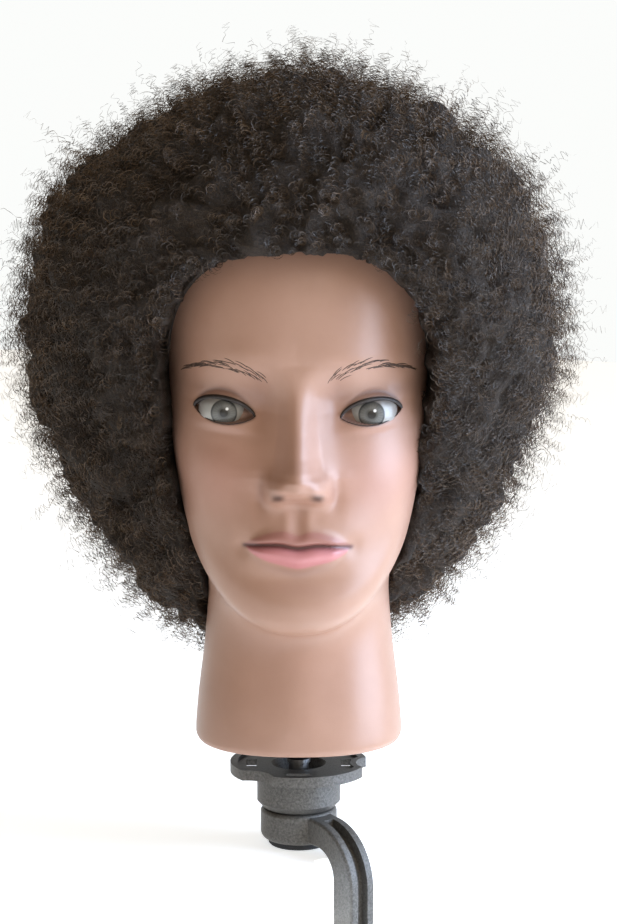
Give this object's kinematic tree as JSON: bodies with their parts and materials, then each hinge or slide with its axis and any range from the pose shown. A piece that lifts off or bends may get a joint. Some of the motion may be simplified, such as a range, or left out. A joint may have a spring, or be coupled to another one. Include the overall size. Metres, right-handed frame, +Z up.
{
  "type": "mannequin training head with table clamp",
  "caption": "Vinyl training head with a full rounded afro on a tapered post, held by a cast C-clamp whose ball joint is locked by a lobed hand wheel.",
  "frame": {"origin": "centre of the clamp's upper pad, on the face that rests on the table top, under the post's axis", "axes": "+Z up along the post, the face looks along -Y, +X is on the head's own left (the right of a view of the face)"},
  "size_m": [0.288, 0.261, 0.524],
  "materials": {
    "cast_paint": "satin, hammered dark grey-brown paint on a casting",
    "pad_rubber": "matt dark rubber",
    "brass_insert": "machined",
    "steel": "bright zinc plate",
    "dark_steel": "oiled dark steel",
    "seat_plastic": "natural bearing plastic",
    "black_plastic": "satin black plastic",
    "vinyl_skin": "soft satin vinyl with painted features",
    "scalp_vinyl": "matt dark rooting layer",
    "foam": "rigid foam",
    "hair": "tightly curled dark brown fibre",
    "socket_plastic": "matt black plastic",
    "cap_plastic": "gloss black plastic"
  },
  "bodies": {
    "frame": {"clamp_frame": "cast_paint", "table_pad": "pad_rubber", "thread_insert": "brass_insert"},
    "ball_seats": {"wave_spring": "steel", "lower_ball_seat": "seat_plastic", "upper_ball_seat": "seat_plastic"},
    "stud": {"ball_stud": "steel", "post_washer": "steel", "post_screw": "steel"},
    "sleeve": {"post_sleeve": "black_plastic"},
    "head": {"head_skin": "vinyl_skin", "foam_core": "foam", "scalp": "scalp_vinyl", "hair": "hair", "neck_socket": "socket_plastic", "neck_plate": "socket_plastic", "plate_screw_1": "steel", "plate_screw_2": "steel", "plate_screw_3": "steel"},
    "hand_wheel": {"locking_wheel": "cast_paint"},
    "thrust": {"foot_clip": "steel"},
    "foot": {"pressure_foot": "steel", "foot_pad": "pad_rubber"},
    "screw": {"clamp_screw": "dark_steel", "screw_hub": "dark_steel", "hub_pin": "steel"},
    "bar": {"tommy_bar": "steel", "bar_cap_left": "cap_plastic", "bar_cap_right": "cap_plastic"}
  },
  "joints": [
    {"name": "ball_swivel", "type": "hinge", "parent": "frame", "child": "ball_seats", "pos_m": [0, 0, 0.025], "axis": [0, 0, 1], "continuous": true},
    {"name": "ball_tilt", "type": "hinge", "parent": "ball_seats", "child": "stud", "pos_m": [0, 0, 0.025], "axis": [1, 0, 0], "range_deg": [-20, 20]},
    {"name": "head_turn", "type": "hinge", "parent": "stud", "child": "sleeve", "pos_m": [0, 0, 0.06], "axis": [0, 0, 1], "continuous": true},
    {"name": "head_lift", "type": "slide", "parent": "sleeve", "child": "head", "axis": [0, 0, 1], "range_m": [0, 0.1]},
    {"name": "wheel_turn", "type": "hinge", "parent": "frame", "child": "hand_wheel", "pos_m": [0, 0, 0.04], "axis": [0, 0, 1], "range_deg": [0, 90]},
    {"name": "screw_travel", "type": "slide", "parent": "frame", "child": "thrust", "axis": [0, 0, 1], "range_m": [-0.015, 0.025]},
    {"name": "screw_turn", "type": "hinge", "parent": "thrust", "child": "screw", "pos_m": [0, 0, -0.035], "axis": [0, 0, 1], "range_deg": [-3620, 6020]},
    {"name": "foot_tilt", "type": "hinge", "parent": "thrust", "child": "foot", "pos_m": [0, 0, -0.035], "axis": [1, 0, 0], "range_deg": [-8, 8]},
    {"name": "bar_slide", "type": "slide", "parent": "screw", "child": "bar", "axis": [1, 0, 0], "range_m": [-0.022, 0.022]}
  ],
  "couplings": [
    {"joint": "screw_turn", "follows": "screw_travel", "rad_per_m": 4188.8}
  ]
}
